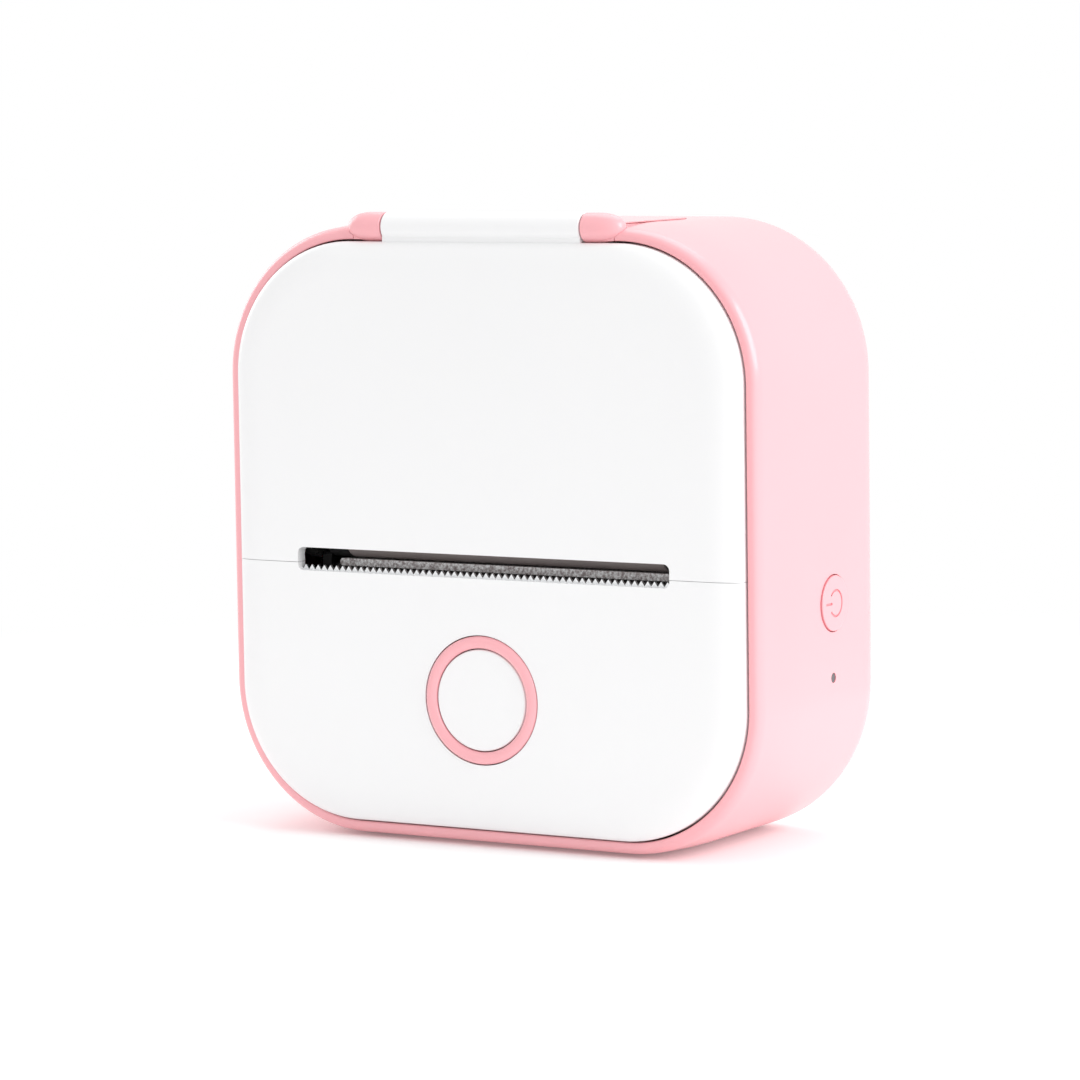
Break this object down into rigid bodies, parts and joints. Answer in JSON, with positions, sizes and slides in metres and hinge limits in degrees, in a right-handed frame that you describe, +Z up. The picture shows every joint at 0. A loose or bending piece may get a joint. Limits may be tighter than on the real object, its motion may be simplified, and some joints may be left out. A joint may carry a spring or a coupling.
{
  "type": "portable thermal printer",
  "caption": "Palm-sized thermal label and photo printer in a rounded square pink case with a white hinged front cover, paper slot with serrated cutter, and round feed button.",
  "frame": {"origin": "middle of the flat face the printer stands on, halfway through its depth", "axes": "+X to the viewer's right, +Y from the front to the back, +Z up"},
  "size_m": [0.0843, 0.0383, 0.0861],
  "materials": {
    "pink_case": "fine matt moulded ABS in pale pink",
    "white_front": "smooth white moulded ABS with a soft sheen",
    "white_inner": "plain white moulded acetal",
    "dark_frame": "black moulded ABS",
    "platen_rubber": "ground dark silicone rubber",
    "steel": "plain bright steel",
    "cutter_steel": "bright stainless strip",
    "gear_plastic": "natural acetal",
    "brass": "turned brass",
    "motor_can": "zinc-plated can",
    "aluminium": "plain anodised aluminium",
    "ceramic": "glazed ceramic with the heater line",
    "board_green": "green solder mask",
    "black_parts": "black moulded components",
    "light_guide": "smoky clear plastic",
    "battery_wrap": "blue shrink wrap"
  },
  "bodies": {
    "case": {"case_shell": "pink_case", "hinge_carrier": "pink_case", "hinge_pin": "steel", "inner_frame": "dark_frame", "side_board_arms": "dark_frame", "frame_screws": "steel", "lower_panel": "white_front", "cutter_blade": "cutter_steel", "button_ring": "pink_case", "feed_switch": "black_parts", "main_board": "board_green", "board_chips": "black_parts", "board_screws": "steel", "charging_socket": "steel", "socket_tongue": "black_parts", "power_switch": "black_parts", "side_board": "board_green", "status_light": "light_guide", "battery": "battery_wrap", "paper_sensor": "black_parts", "stepper_motor": "motor_can", "gear_axles": "steel", "head_spring": "steel"},
    "cover": {"front_cover": "white_front", "platen_holder": "white_inner", "platen_bushes": "white_inner"},
    "platen": {"platen_shaft": "steel", "platen_rubber": "platen_rubber", "platen_gear": "gear_plastic"},
    "idler": {"idler_gear": "gear_plastic"},
    "reduction": {"reduction_gear": "gear_plastic"},
    "motor_rotor": {"motor_shaft": "steel", "motor_pinion": "brass"},
    "print_head": {"heat_sink": "aluminium", "head_ceramic": "ceramic"},
    "feed_cap": {"feed_button": "white_front", "feed_plunger": "black_parts"},
    "power_cap": {"power_button": "pink_case", "power_plunger": "black_parts"}
  },
  "joints": [
    {"name": "cover_hinge", "type": "hinge", "parent": "case", "child": "cover", "pos_m": [0, -0.016, 0.0841], "axis": [-1, 0, 0], "range_deg": [0, 100]},
    {"name": "platen_spin", "type": "hinge", "parent": "cover", "child": "platen", "pos_m": [0, -0.013, 0.0417], "axis": [1, 0, 0], "continuous": true},
    {"name": "idler_spin", "type": "hinge", "parent": "case", "child": "idler", "pos_m": [-0.03, -0.00582, 0.04069], "axis": [1, 0, 0], "continuous": true},
    {"name": "reduction_spin", "type": "hinge", "parent": "case", "child": "reduction", "pos_m": [-0.03, -0.0026, 0.03511], "axis": [1, 0, 0], "continuous": true},
    {"name": "motor_spin", "type": "hinge", "parent": "case", "child": "motor_rotor", "pos_m": [-0.03, 0.00146, 0.02862], "axis": [1, 0, 0], "continuous": true},
    {"name": "head_tilt", "type": "hinge", "parent": "case", "child": "print_head", "pos_m": [0, -0.0047, 0.03653], "axis": [1, 0, 0], "range_deg": [0, 2.5], "stiffness_Nm_per_rad": 0.05, "deforming": ["head_spring"]},
    {"name": "feed_press", "type": "slide", "parent": "case", "child": "feed_cap", "axis": [0, 1, 0], "range_m": [0, 0.0004], "stiffness_N_per_m": 400},
    {"name": "power_press", "type": "slide", "parent": "case", "child": "power_cap", "axis": [-1, 0, 0], "range_m": [0, 0.0003], "stiffness_N_per_m": 400}
  ],
  "couplings": [
    {"joint": "idler_spin", "follows": "platen_spin", "ratio": -0.8},
    {"joint": "reduction_spin", "follows": "platen_spin", "ratio": 1.3333},
    {"joint": "motor_spin", "follows": "platen_spin", "ratio": -3.7333}
  ]
}
